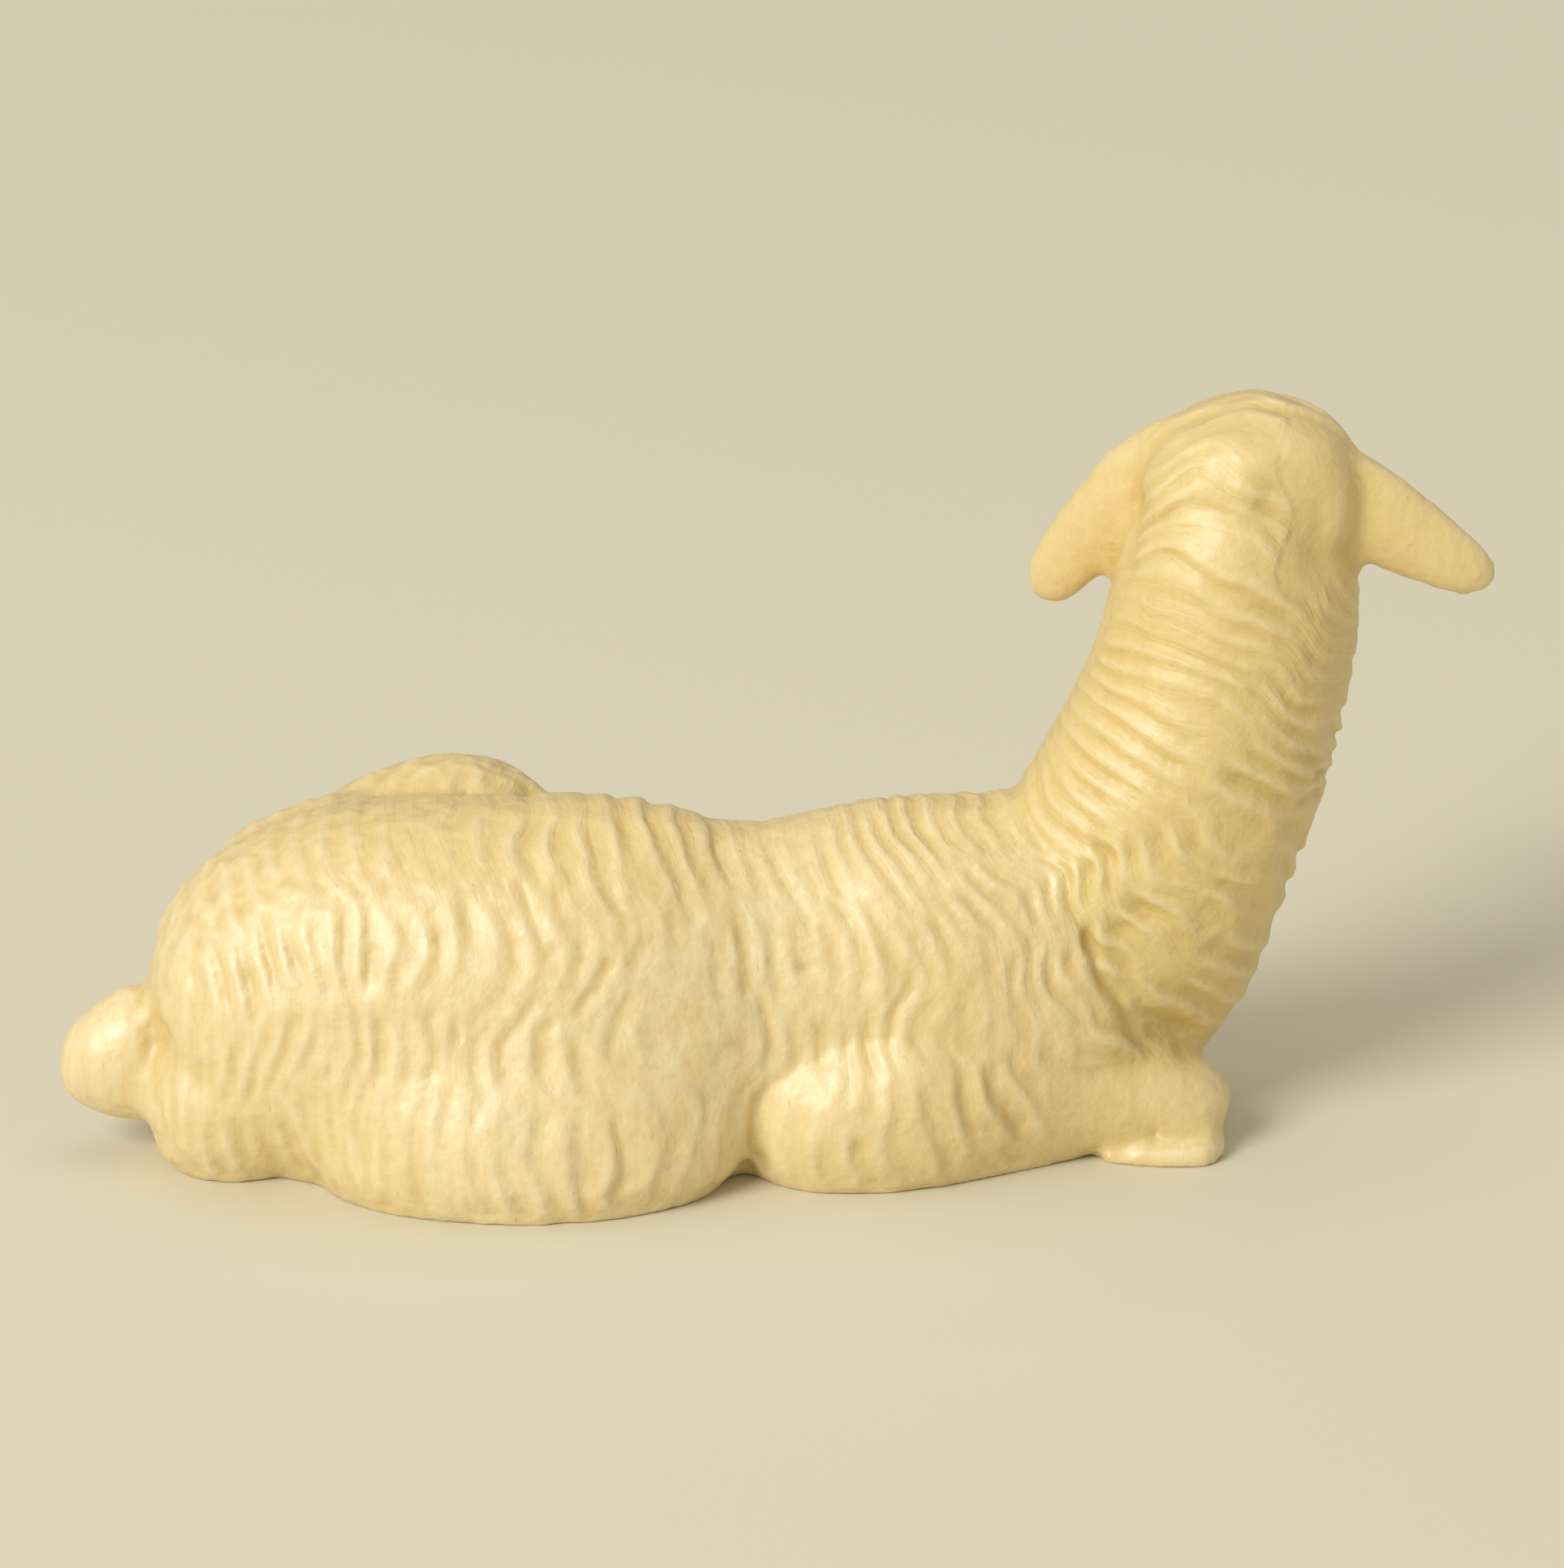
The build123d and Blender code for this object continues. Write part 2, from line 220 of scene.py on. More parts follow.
SPINE = [
    Spine(-50.0, 3.0, 9.0, 8.0, 1.5, 0.18, 0.4, 0.0, 0.0, (0, 0, 1)),
    Spine(-42.0, 3.0, 9.5, 9.5, 1.55, 0.30, 0.8, 0.0, 0.0, (0, 0, 1)),
    Spine(-33.0, 2.7, 10.5, 12.5, 1.75, 0.31, 1.2, 0.0, 0.0, (0, 0, 1)),
    Spine(-22.0, 2.2, 11.0, 13.5, 2.1, 0.31, 1.4, 0.0, 0.0, (0, 0, 1)),
    Spine(-10.0, 2.6, 10.8, 13.0, 2.3, 0.31, 1.5, 0.0, 0.0, (0, 0, 1)),
    Spine(2.0, 4.4, 10.5, 12.0, 2.2, 0.29, 1.4, 0.0, 0.0, (0, 0, 1)),
    Spine(12.0, 6.0, 12.5, 12.0, 2.1, 0.31, 1.3, 0.0, 0.0, (-0.2, 0, 0.98)),
    Spine(20.0, 7.2, 17.0, 11.0, 2.1, 0.32, 1.0, -0.05, 0.2, (-0.6, -0.05, 0.8)),
    Spine(25.5, 7.8, 24.0, 9.5, 2.1, 0.27, 0.5, -0.2, 0.8, (-0.8, -0.45, 0.4)),
    Spine(29.5, 8.2, 32.0, 9.0, 2.1, 0.23, 0.35, -0.4, 1.0, (-0.55, -0.82, 0.15)),
    Spine(31.4, 8.8, 39.0, 8.5, 1.9, 0.22, 0.3, -0.4, 1.0, (-0.38, -0.92, 0.1)),
    Spine(32.2, 9.6, 44.5, 7.5, 0.95, 0.22, 0.2, -0.3, 1.0, (-0.2, -0.95, 0.25)),
    Spine(32.6, 11.0, 47.5, 7.0, 0.6, 0.22, 0.2, -0.2, 1.0, (-0.1, -0.7, 0.7)),
    Spine(33.0, 14.5, 48.0, 6.5, 0.6, 0.2, 0.2, -0.1, 1.0, (0, -0.2, 0.97)),
]
SPINE_STEPS = 24
SPINE_REACH = 5.0
BATCH = 8000


def smooth_line(rows, steps):
    """Rows between the given ones, on a smooth curve through them all."""
    rows = np.asarray(rows, float)
    padded = np.vstack([2 * rows[0] - rows[1], rows, 2 * rows[-1] - rows[-2]])
    turns = np.linspace(0, 1, steps, endpoint=False)[:, None]
    found = []
    for before, here, after, beyond in zip(padded, padded[1:], padded[2:], padded[3:]):
        found.append(
            here
            + 0.5 * turns * (after - before)
            + turns**2 * (before - 2.5 * here + 2 * after - 0.5 * beyond)
            + turns**3 * (1.5 * (here - after) + 0.5 * (beyond - before))
        )
    return np.vstack(found + [rows[-1:]])


line = smooth_line([(*s[:-1], *s.back) for s in SPINE], SPINE_STEPS)
steps = np.linalg.norm(np.diff(line[:, :3], axis=0), axis=1)
lock_pitch = line[1:, Spine._fields.index("lock_pitch")]
lock_count = np.concatenate([[0], np.cumsum(steps / lock_pitch)])
line = np.column_stack([line, lock_count])

places = vertex_places(blank.data)
nearby = np.empty((len(places), line.shape[1]))
for start in range(0, len(places), BATCH):
    some = slice(start, start + BATCH)
    apart = ((places[some, None, :] - line[None, :, :3]) ** 2).sum(2)
    weight = np.exp((apart.min(1, keepdims=True) - apart) / (2 * SPINE_REACH**2))
    nearby[some] = weight @ line / weight.sum(1, keepdims=True)

middle, figures, back, count = np.split(nearby, (3, 9, 12), axis=1)
radius, pitch, depth, sway, lean, overlap = figures.T
count = count[:, 0]
outward = places - middle
tangent = np.gradient(line[:, :3], axis=0)
tangent /= np.linalg.norm(tangent, axis=1, keepdims=True)
along = tangent[np.searchsorted(lock_count, count).clip(0, len(line) - 1)]
outward -= along * (outward * along).sum(1, keepdims=True)
back = back - along * (back * along).sum(1, keepdims=True)
back /= np.linalg.norm(back, axis=1, keepdims=True)
angle = np.arctan2((outward * np.cross(along, back)).sum(1), (outward * back).sum(1))
PARTING = 0.3
THROAT = 0.5
from_back = np.hypot(angle, PARTING) - PARTING
from_throat = math.hypot(math.pi, PARTING) - PARTING - from_back
around = radius * (from_back + from_throat - np.hypot(from_throat, THROAT))

x, y, z = places.T
CRIMP = 0.34
CRIMP_LENGTH = 5.5
STEADINESS = 0.35
crimped = within(x, 16.5, 22, 2) * within(z, 9, 21, 3)
count = count - (lean * around + CRIMP * crimped * np.sin(math.tau * around / CRIMP_LENGTH)) / pitch
steady = STEADINESS * overlap

# Bare and worn wood: the wool stops at the tail, ears, face, feet and sole, which stay smooth.
# It is shallow where it is worn on flank, back and nape, stippled on the far thigh and the rump,
# and deepest on the breast. Head, neck, breast and far thigh get a deeper yellow: painted warm shade.
ahead, aside, above = seen_from_head(places)
ripple = 0.6 * np.sin(0.9 * (z - 44.5))
bare_wood = {
    "tail": within(x, -60, -44.5, 1.0),
    "forelegs": within(x, 20, 60, 3) * within(z, -5, 7.0, 2),
    "right ear": within(z, 36, 70, 1) * within(x, 41.2, 60, 0.8),
    "root of the right ear": within(z, 42, 70, 1.5) * within(x, 38.5, 60, 1.5),
    "left ear": within(z, 34, 70, 1.5) * within(x, 0, 22.4, 0.8) * within(y, 7, 30, 1),
    "root of the left ear": within(z, 43, 70, 1.5) * within(x, 0, 24.5, 1) * within(y, 7, 30, 1),
    "side of the head": within(z, 42.0, 70, 2.0) * within(x - ripple, 34.8, 60, 0.9) * within(y, -5, 9, 1),
    "face": within(above, -6.0, 20, 1.5) * within(ahead, 3.0, 40, 1.5)
        * within(np.abs(aside), -1, 6.6, 0.6),
    "sole": within(z, -5, 0.1, 1.0),
    "hind shanks": within(y, 15.5, 40, 1.5) * within(z, -5, 6, 1.0) * within(x, -60, 4, 1),
}
bare = np.maximum.reduce(list(bare_wood.values()))
blade_edge = 20.2 + 0.2 * np.clip(21 - z, 0, 12)
worn = 0.15 * within(around, 10, 20, 4) * within(x, -40, -6, 5)
far_thigh = within(x, -36, -12, 3) * within(y, 8, 30, 3) * within(z, 19, 40, 3)
rump_top = within(around, -1, 3.5, 3) * within(x, -60, -24, 6)
breast = 0.9 * within(x - blade_edge, 1.5, 30, 3) * within(z, 3, 29, 5)
nape = within(z, 27, 40, 4) * within(x, 16, 30, 4)
saddle = within(x, -22, 18, 4) * within(z, 12, 40, 4)
stipple = np.maximum(far_thigh, 0.6 * rump_top) * (1 - bare)
for change in (-0.2 * nape, -0.1 * saddle, -bare, -worn, -0.5 * far_thigh, -0.45 * rump_top, breast):
    depth = depth * (1 + change)
# Painted warm shade: how much deeper yellow the head, neck, breast and far thigh get, standing in for
# shade.
painted_warm_shade = np.maximum.reduce(
    [
        within(z, 27, 70, 9),
        within(x - blade_edge, 1, 60, 4) * within(z, 8, 70, 3),
        0.3 * within(x, 10, 60, 8),
        0.5 * far_thigh,
    ]
)


def keep_values(mesh, name, values):
    """Keep a number for each vertex of a mesh under a name, for the gouge or the finish to read."""
    kept = mesh.attributes.new(name, "FLOAT", "POINT")
    kept.data.foreach_set("value", values.astype(np.float32))


for name, values in {
    "lock_count": count, "around": around, "lock_depth": depth, "sway": sway / pitch,
    "overlap": overlap, "steady": steady, "stipple": stipple, "painted_warm_shade": painted_warm_shade,
}.items():
    keep_values(blank.data, name, values)


# Folds and swellings: shoulder, fringe, far haunch and the wool's edge on the nape stand a little proud.
# Armpits, the folds over the shanks, the crown and the roots of ears and tail are cut a little in.
# All are gouge work on the blocks themselves, less than a millimetre high.
def groove(distance, width):
    """1 on a line, going softly to 0 over the width beside it."""
    return np.exp(-((distance / width) ** 2))


from_middle = np.abs(y - 7.6)
forearm_top = np.interp(x, (20, 22, 24.3, 28.3, 31), (17.5, 13.5, 10.1, 7.3, 5.8))
fold_height = np.interp(x, (21.5, 25.0, 30.0), (0.5, 2.0, 2.2))
fringe_edge = 2.8 + 0.8 * np.sin(1.5 * aside)
cap_edge = 33.9 + ripple
crease_line = x - 24.4 - 0.2 * (z - 44.5)
shoulder = within(x - blade_edge, -14, 0, 3) * within(z, 9, 20, 5) * within(np.abs(y - 6), 6, 30, 2)
cap = within(x - cap_edge, -10, 0, 1.0) * within(z, 43, 47, 3) * within(y, -5, 7, 2)
tail_root = within(x, -43.4, -42.6, 1.4) * within(z, 3, 10, 2)
armpit = groove(z - forearm_top - 0.8, 1.1) * within(x, 22, 28, 2) * within(from_middle, 4.5, 30, 2)
fold = groove(z - fold_height, 0.55) * within(x, 22.5, 28.0, 2.0) * within(from_middle, 5, 30, 1)
shank = within(z - fold_height, -4, -1.0, 0.6) * within(x, 23.5, 32, 2) * within(from_middle, 5, 30, 1)
fringe = within(ahead, -20, fringe_edge, 0.8) * within(above, 2.0, 20, 2.0) * within(y, 9, 40, 1)
ear_pit = groove(np.hypot((x - 37.0) / 1.5, (z - 44.6) / 3.0), 1.0) * within(y, -5, 8, 1)
ear_crease = groove(crease_line, 0.55) * within(z, 42, 45, 2.5) * within(y, 5, 12, 1)
crown = within(z, 53, 60, 3.0)
haunch = within(x, -36, -31.5, 4.5) * within(y, 7, 14, 3) * within(z, 17, 30, 3)
tail_notch = groove(x + 44.6, 0.7) * groove(z - 12.4, 1.6)
swell = np.zeros(len(places))
for height, form in (
    (0.5, shoulder), (0.22, cap), (-0.4, tail_root), (-0.9, armpit), (-0.45, fold), (0.3, shank),
    (0.3, fringe), (-0.6, ear_pit), (-0.4, ear_crease), (-0.55, crown), (0.9, haunch), (-0.5, tail_notch),
):
    swell += height * form


# Face: a plain sheep's face, left smooth and cut into the end of the head's block with small gouges.
# It has rimmed eyes under a lid, slit nostrils, a cleft lip and a shallow mouth.
def from_line(across, up, start, end):
    """The distance of places from a short straight line, seen in two directions."""
    run = np.subtract(end, start)
    share = ((across - start[0]) * run[0] + (up - start[1]) * run[1]) / (run @ run)
    share = np.clip(share, 0, 1)
    return np.hypot(across - start[0] - share * run[0], up - start[1] - share * run[1])


EYE = (5.6, 1.6)
EYE_HALF = (1.75, 1.05)
EYE_TILT = math.radians(-14)
forward, up = ahead - EYE[0], above - EYE[1]
long = (forward * math.cos(EYE_TILT) + up * math.sin(EYE_TILT)) / EYE_HALF[0]
high = (up * math.cos(EYE_TILT) - forward * math.sin(EYE_TILT)) / EYE_HALF[1]
reach = np.hypot(long, high)
eyeball = 0.4 * np.clip(1 - reach**2, 0, 1)
rim = 0.34 * groove(reach - 1.15, 0.2)
lid = 0.38 * within(high, 0, 9, 0.8) + 0.18 * within(high, -9, 0, 0.8)
eye = eyeball - rim + lid * groove(reach - 1.7, 0.32)
cheek = groove(np.hypot((ahead - 10.5) / 3.2, (above - 0.6) / 2.2), 1.0)
snout = within(ahead, 16.5, 30, 1)
for side in (1, -1):
    on_side = within(side * aside, 3.0, 20, 1.0)
    nostril = groove(from_line(side * aside, above, (0.8, 0.1), (2.3, 1.3)), 0.42)
    swell += on_side * (eye - 0.3 * cheek) - 0.55 * nostril * snout
swell -= 0.3 * snout * groove(from_line(aside, above, (-0.1, 0.1), (-0.1, -1.6)), 0.34)
mouth_height = -1.7 - 0.3 * np.clip((16.5 - ahead) / 4, 0, 1) + 0.8 * np.clip((12.6 - ahead) / 1.4, 0, 1)
swell -= 0.4 * groove(above - mouth_height, 0.36) * within(ahead, 11.5, 30, 0.7)


# Ears: two thin blocks of maple that are pinned to the sides of the head and hang outwards.
# The side that looks forward is scooped out to a shallow bowl from root to tip.
def vertex_normals(mesh):
    """The normals of a mesh's vertices."""
    flat = np.empty(len(mesh.vertices) * 3)
    mesh.vertices.foreach_get("normal", flat)
    return flat.reshape(-1, 3)


BOWL_HALF = 2.3
BOWL_DEPTH = 0.7
normals = vertex_normals(blank.data)
faces_forward = within(normals[:, 1], 0.35, 2, 0.3)
for ear_root, ear_tip in (((40.5, 44.9), (47.6, 41.1)), ((24.3, 44.8), (19.0, 38.2))):
    bowl = np.clip(1 - (from_line(x, z, ear_root, ear_tip) / BOWL_HALF) ** 2, 0, 1)
    swell -= BOWL_DEPTH * bowl * faces_forward * within(z, 34, 60, 1) * within(y, 4, 17, 1)

# Hooves: the tips of the two hind legs, which lie out on the far side, cut from the legs' own blocks.
# A ring of groove marks off each hoof from its shank, and a deeper one parts the two toes.
HOOF_LENGTH = 4.2
for hoof_tip, hoof_way in (((-6.0, 19.0), (1.0, 0.0)), ((1.2, 17.4), (0.918, 0.397))):
    from_tip = (hoof_tip[0] - x) * hoof_way[0] + (hoof_tip[1] - y) * hoof_way[1]
    sideways = (y - hoof_tip[1]) * hoof_way[0] - (x - hoof_tip[0]) * hoof_way[1]
    foot = within(from_tip, -2, 6, 1) * within(np.abs(sideways), -1, 3, 1) * within(z, -1, 6, 1)
    coronet = groove(from_tip - HOOF_LENGTH, 0.5)
    cleft = groove(sideways, 0.42) * within(from_tip, -2, HOOF_LENGTH - 0.8, 0.5)
    swell -= foot * (0.35 * coronet + 0.55 * cleft)

CREASE_ROUNDS = 12
creased = within(z, -1, 5, 1) * within(x, 22, 31, 1) * within(from_middle, 4, 30, 1)
places = eased(places + swell[:, None] * normals, edge_ends(blank.data), CREASE_ROUNDS, creased)
place_vertices(blank.data, places)


# Waxed maple: cream wood with fine upright fibres and a few dark flecks, under a satin wax.
# It is yellower in the hollows of the carving, partly wax gathered there and partly painted shade,
# and paler on the crests, a painted highlight. The gouge has left fine combed lines along the locks.
def node(tree, kind, inputs=None, **settings):
    """A new node of the tree, with its settings, and with numbers or other nodes' outputs put into it."""
    made = tree.nodes.new(kind)
    for key, value in settings.items():
        setattr(made, key, value)
    for place, value in (inputs or {}).items():
        if isinstance(value, bpy.types.NodeSocket):
            tree.links.new(value, made.inputs[place])
        else:
            made.inputs[place].default_value = value
    return made


def maths(tree, operation, *values):
    """The result of a sum in the tree."""
    return node(tree, "ShaderNodeMath", dict(enumerate(values)), operation=operation).outputs[0]


def waxed_maple():
    """The wood of the carved blocks."""
    wood = bpy.data.materials.new("waxed_maple")
    wood.use_nodes = True
    tree = wood.node_tree
    shader = tree.nodes["Principled BSDF"]
    spot = node(tree, "ShaderNodeTexCoord").outputs["Object"]

    def upright(squeeze):
        """Places squeezed upright, so that a pattern on them is drawn out along the fibres."""
        return node(tree, "ShaderNodeMapping", {0: spot, 3: (1.0, 1.0, squeeze)}).outputs[0]

    def clouded(where, scale, detail):
        """A cloudy pattern."""
        return node(tree, "ShaderNodeTexNoise", {0: where, "Scale": scale, "Detail": detail}).outputs[0]

    def kept(name):
        """The number that the carving has kept on the skin under a name."""
        return node(tree, "ShaderNodeAttribute", attribute_name=name).outputs["Fac"]

    def ranged(value, low, high, least, most):
        """A value between low and high, stretched to lie between least and most."""
        place = {0: value, 1: low, 2: high, 3: least, 4: most}
        return node(tree, "ShaderNodeMapRange", place).outputs[0]

    def blended(share, first, second):
        """The first colour, with a share of the second in it."""
        return node(tree, "ShaderNodeMix", {0: share, 6: first, 7: second}, data_type="RGBA").outputs[2]

    fibres = clouded(upright(0.055), 1500, 4)
    flecks = clouded(upright(0.16), 2600, 1)
    streaks = clouded(upright(0.12), 420, 3)
    clouds = clouded(spot, 70, 3)
    pores = clouded(spot, 1300, 4)
    hollow, painted_warm_shade, wool = kept("hollow"), kept("painted_warm_shade"), kept("lock_depth")
    across = maths(tree, "MULTIPLY", kept("combed"), 4.0)
    along = maths(tree, "MULTIPLY", kept("around"), 0.45)
    hairs = clouded(node(tree, "ShaderNodeCombineXYZ", {0: across, 1: along}).outputs[0], 1.0, 2)
    woolly = maths(tree, "MULTIPLY", ranged(wool, 0.02, 0.15, 0, 1), ranged(painted_warm_shade, 0.1, 0.9, 0.3, 1))
    tips = maths(tree, "MULTIPLY", ranged(hairs, 0.5, 0.72, 0, 0.35), woolly)
    combing = maths(tree, "MULTIPLY", hairs, woolly)

    colour = blended(ranged(clouds, 0.35, 0.65, 0, 1), (0.84, 0.715, 0.41, 1), (0.80, 0.645, 0.32, 1))
    for share, tint in (
        # Painted warm shade: a deeper yellow on head, neck, breast and far thigh.
        (ranged(painted_warm_shade, 0, 1, 0, 0.8), (0.73, 0.545, 0.19, 1)),
        (ranged(streaks, 0.5, 0.72, 0, 0.45), (0.72, 0.52, 0.20, 1)),
        (ranged(fibres, 0.42, 0.62, 0, 0.35), (0.72, 0.50, 0.21, 1)),
        (ranged(pores, 0.45, 0.7, 0, 0.3), (0.66, 0.47, 0.18, 1)),
        (tips, (0.66, 0.48, 0.16, 1)),
        (ranged(flecks, 0.74, 0.80, 0, 0.35), (0.42, 0.25, 0.09, 1)),
        # Hollows: partly wax gathered there, partly painted shade.
        (ranged(hollow, 0.05, 0.9, 0, 0.5), (0.58, 0.41, 0.11, 1)),
        # Crests: a painted highlight.
        (ranged(hollow, -0.1, -0.9, 0, 0.3), (0.91, 0.80, 0.53, 1)),
    ):
        colour = blended(share, colour, tint)
    tree.links.new(colour, shader.inputs["Base Color"])
    tree.links.new(ranged(fibres, 0.3, 0.7, 0.42, 0.54), shader.inputs["Roughness"])
    shader.inputs["Specular IOR Level"].default_value = 0.6
    shader.inputs["Coat Weight"].default_value = 0.7
    shader.inputs["Coat Roughness"].default_value = 0.45

    below = {}
    for height, strength, rise in ((pores, 0.6, 0.16), (combing, 0.7, 0.2), (fibres, 0.4, 0.05)):
        bump = {"Strength": strength, "Distance": rise * MM, "Height": height, **below}
        below = {"Normal": node(tree, "ShaderNodeBump", bump).outputs[0]}
    tree.links.new(below["Normal"], shader.inputs["Normal"])
    return wood


maple = waxed_maple()

# Wool: rows of swaying locks, cut into the maple with a small gouge, on softly uneven wood.
# Each lock is a stroke that swells and dies away. A second row fills the gaps of the first.
# The lines that the locks follow are kept on the skin, for the finish to comb.
LOCKS = {
    "Sway Length": 20.0,
    "Sway Start": -1.35,
    "Wander": 2.0,
    "Wander Size": 11.0,
    "Ruffle": 0.6,
    "Ruffle Size": 4.0,
    "Tier Length": 13.0,
    "Tier Stagger": 0.7,
    "Patch": 1.9,
    "Patch Size": 7.0,
    "Lump": 0.55,
    "Lump Size": 7.0,
    "Chip": 0.16,
    "Chip Size": 1.5,
    "Seed": 12.0,
}
GOUGE = ((0.06, 0.08), (0.16, 0.5), (0.34, 1.0), (0.60, 0.74), (0.86, 0.18), (0.95, 0.04))
FIRST_ROW = 0.35
SECOND_ROW = 0.85
TIER_NUMBERS = 37.0
LATEST = 0.25
OPENING = 0.3
CLOSING = 0.4
FAINTEST = 0.6
BOLDER = 0.7
SWIRL = 2.5
STEADY_BEND = 3.6
STEADY_LENGTH = 0.2
STEADY_SECOND = -0.5
THINNEST_PATCH = 0.45
FULL_WOOL = 4.0
STIPPLED = 4.5
MEAN_CUT = 0.3


def carved_locks(tree, finish):
    """Swaying locks in rows, each a stroke that swells and dies away, on softly uneven wood."""
    sockets = tree.interface
    sockets.new_socket("Geometry", in_out="INPUT", socket_type="NodeSocketGeometry")
    for name, value in LOCKS.items():
        sockets.new_socket(name, in_out="INPUT", socket_type="NodeSocketFloat").default_value = value
    sockets.new_socket("Geometry", in_out="OUTPUT", socket_type="NodeSocketGeometry")
    given = tree.nodes.new("NodeGroupInput").outputs
    place = node(tree, "GeometryNodeInputPosition").outputs[0]
    count, around, depth, sway, overlap, steady, stipple = (
        node(tree, "GeometryNodeInputNamedAttribute", {"Name": name}, data_type="FLOAT").outputs[0]
        for name in ("lock_count", "around", "lock_depth", "sway", "overlap", "steady", "stipple")
    )

    def noise(size, strength, seed_step):
        """Soft unevenness of a size and strength."""
        scale = maths(tree, "DIVIDE", 1 / MM, given[size])
        shift = maths(tree, "ADD", given["Seed"], seed_step)
        texture = node(
            tree, "ShaderNodeTexNoise", {"Vector": place, "W": shift, "Scale": scale, "Detail": 1.0},
            noise_dimensions="4D",
        )
        return maths(tree, "MULTIPLY", maths(tree, "SUBTRACT", texture.outputs[0], 0.5), given[strength])

    def chance(number, step):
        """A random share that is the same wherever the number is."""
        shifted = maths(tree, "ADD", number, maths(tree, "ADD", given["Seed"], step))
        return node(tree, "ShaderNodeTexWhiteNoise", {"W": shifted}, noise_dimensions="1D").outputs[0]

    def scoop(share):
        """The depth of a gouge's cut, steep on one side and easy on the other."""
        gouge = node(tree, "ShaderNodeFloatCurve", {"Value": share})
        curve = gouge.mapping.curves[0]
        curve.points[0].location = (0, 0)
        curve.points[1].location = (1, 0)
        for left, up in GOUGE:
            curve.points.new(left, up)
        gouge.mapping.update()
        return gouge.outputs[0]

    def either_way(share):
        """The gouge's cut, turned round where the locks lie over each other."""
        mirrored = scoop(maths(tree, "SUBTRACT", 1.0, share))
        plain = scoop(share)
        turned = maths(tree, "MULTIPLY", overlap, maths(tree, "SUBTRACT", mirrored, plain))
        return maths(tree, "ADD", plain, turned)

    def eased_step(value, start, end):
        """0 before the start and 1 after the end, with a soft rise between them."""
        step = {0: value, 1: start, 2: end}
        return node(tree, "ShaderNodeMapRange", step, interpolation_type="SMOOTHSTEP").outputs[0]

    restless = maths(tree, "SUBTRACT", 1.0, steady)
    bend = maths(tree, "MULTIPLY_ADD", steady, STEADY_BEND, 1.0)
    wander = maths(tree, "MULTIPLY", noise("Wander Size", "Wander", 0.0), bend)
    ruffle = noise("Ruffle Size", "Ruffle", 3.0)
    turn = maths(tree, "MULTIPLY", maths(tree, "DIVIDE", around, given["Sway Length"]), math.tau)
    turn = maths(tree, "ADD", turn, given["Sway Start"])
    turn = maths(tree, "ADD", turn, maths(tree, "MULTIPLY", wander, SWIRL))
    swung = maths(tree, "MULTIPLY", maths(tree, "SINE", turn), sway)
    lines = maths(tree, "SUBTRACT", maths(tree, "ADD", maths(tree, "ADD", count, wander), ruffle), swung)

    def row_of_strokes(shift):
        """How deep the strokes of one set of rows are cut, from 0 to about 1."""
        stagger = maths(tree, "MULTIPLY", noise("Ruffle Size", "Tier Stagger", 5.0 + 8 * shift), restless)
        longer = maths(tree, "MULTIPLY_ADD", steady, STEADY_LENGTH, 1.0)
        length = maths(tree, "MULTIPLY", given["Tier Length"], longer)
        tier = maths(tree, "ADD", maths(tree, "DIVIDE", around, length), shift)
        tier = maths(tree, "ADD", tier, stagger)
        row, down = maths(tree, "FLOOR", tier), maths(tree, "FRACT", tier)
        locks = maths(tree, "ADD", lines, chance(row, 2.5 + 20 * shift))
        number = maths(tree, "ADD", maths(tree, "FLOOR", locks), maths(tree, "MULTIPLY", row, TIER_NUMBERS))
        late = maths(tree, "MULTIPLY", chance(number, 0.5), LATEST)
        early = maths(tree, "MULTIPLY", chance(number, 4.5), LATEST)
        opening = eased_step(down, late, maths(tree, "ADD", late, OPENING))
        closing = eased_step(maths(tree, "SUBTRACT", 1.0, down), early, maths(tree, "ADD", early, CLOSING))
        bold = maths(tree, "ADD", maths(tree, "MULTIPLY", chance(number, 7.5), BOLDER), FAINTEST)
        stroke = maths(tree, "MULTIPLY", maths(tree, "MULTIPLY", opening, closing), bold)
        return maths(tree, "MULTIPLY", either_way(maths(tree, "FRACT", locks)), stroke)

    second_share = maths(tree, "MULTIPLY_ADD", steady, STEADY_SECOND, 1.0)
    between = maths(tree, "MULTIPLY", row_of_strokes(SECOND_ROW), second_share)
    cut = maths(tree, "MAXIMUM", row_of_strokes(FIRST_ROW), between)
    patch = maths(tree, "MULTIPLY_ADD", noise("Patch Size", "Patch", 13.0), bend, 1.0)
    cut = maths(tree, "MULTIPLY", cut, maths(tree, "MAXIMUM", patch, THINNEST_PATCH))
    woolly = maths(tree, "MINIMUM", maths(tree, "MULTIPLY", depth, FULL_WOOL), 1.0)
    uneven = maths(tree, "MULTIPLY", noise("Lump Size", "Lump", 9.0), woolly)
    chipped = maths(tree, "MULTIPLY_ADD", stipple, STIPPLED, woolly)
    uneven = maths(tree, "MULTIPLY_ADD", noise("Chip Size", "Chip", 10.0), chipped, uneven)
    sunk = maths(tree, "MULTIPLY", maths(tree, "SUBTRACT", cut, MEAN_CUT), depth)
    lift = maths(tree, "MULTIPLY", maths(tree, "SUBTRACT", uneven, sunk), MM)
    normal = node(tree, "GeometryNodeInputNormal").outputs[0]
    offset = node(tree, "ShaderNodeVectorMath", {0: normal, 3: lift}, operation="SCALE").outputs[0]
    combed = {"Geometry": given["Geometry"], "Name": "combed", "Value": lines}
    marked = node(
        tree, "GeometryNodeStoreNamedAttribute", combed, data_type="FLOAT", domain="POINT"
    ).outputs[0]
